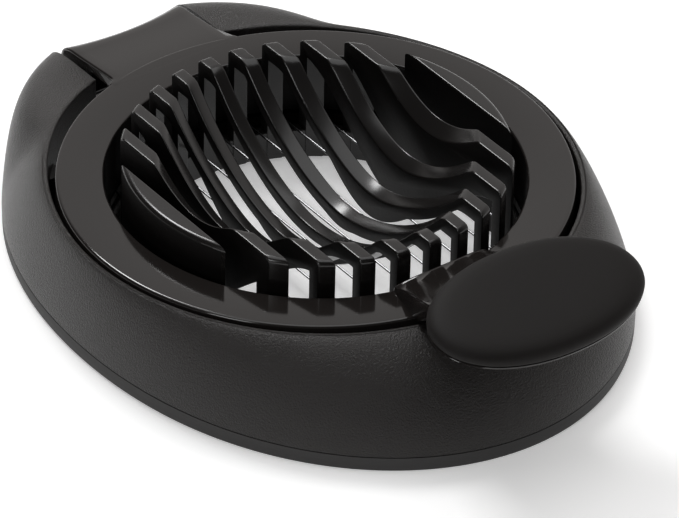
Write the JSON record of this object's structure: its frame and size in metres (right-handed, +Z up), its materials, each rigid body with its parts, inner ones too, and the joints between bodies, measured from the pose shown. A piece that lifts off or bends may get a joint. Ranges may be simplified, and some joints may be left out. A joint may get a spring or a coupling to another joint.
{
  "type": "egg slicer",
  "caption": "Oval table egg slicer: a ribbed egg bowl in a black base, and a hinged round frame strung with steel wires that is lifted and pressed by an oval thumb grip.",
  "frame": {"origin": "on the table, below the middle of the whole object's length and width", "axes": "+X to the right when the thumb grip faces the user, +Y from the thumb grip to the hinge, +Z up"},
  "size_m": [0.1092, 0.1538, 0.0356],
  "materials": {
    "base_plastic": "black, fine moulded grain, satin",
    "foot_rubber": "black, non-slip, matte",
    "cradle_plastic": "black, polished moulding",
    "frame_plastic": "black, glossy moulding",
    "grip_rubber": "black, soft-touch, matte",
    "steel": "stainless, drawn"
  },
  "bodies": {
    "base": {"base_shell": "base_plastic", "foot_ring": "foot_rubber", "cradle_tube": "cradle_plastic", "rib_1": "cradle_plastic", "rib_2": "cradle_plastic", "rib_3": "cradle_plastic", "rib_4": "cradle_plastic", "rib_5": "cradle_plastic", "rib_6": "cradle_plastic", "rib_7": "cradle_plastic", "rib_8": "cradle_plastic", "rib_9": "cradle_plastic", "crescent_left": "cradle_plastic", "crescent_right": "cradle_plastic", "hinge_pin": "steel", "cradle_screw_1": "steel", "cradle_screw_2": "steel", "cradle_screw_3": "steel", "cradle_screw_4": "steel"},
    "cutting_frame": {"frame_ring": "frame_plastic", "wire_carrier": "frame_plastic", "grip_shell": "frame_plastic", "grip_cap": "grip_rubber", "cutting_wire_01": "steel", "cutting_wire_02": "steel", "cutting_wire_03": "steel", "cutting_wire_04": "steel", "cutting_wire_05": "steel", "cutting_wire_06": "steel", "cutting_wire_07": "steel", "cutting_wire_08": "steel", "cutting_wire_09": "steel", "cutting_wire_10": "steel"}
  },
  "joints": [
    {"name": "frame_hinge", "type": "hinge", "parent": "base", "child": "cutting_frame", "pos_m": [0, 0.06346, 0.0146], "axis": [-1, 0, 0], "range_deg": [0, 100]}
  ]
}
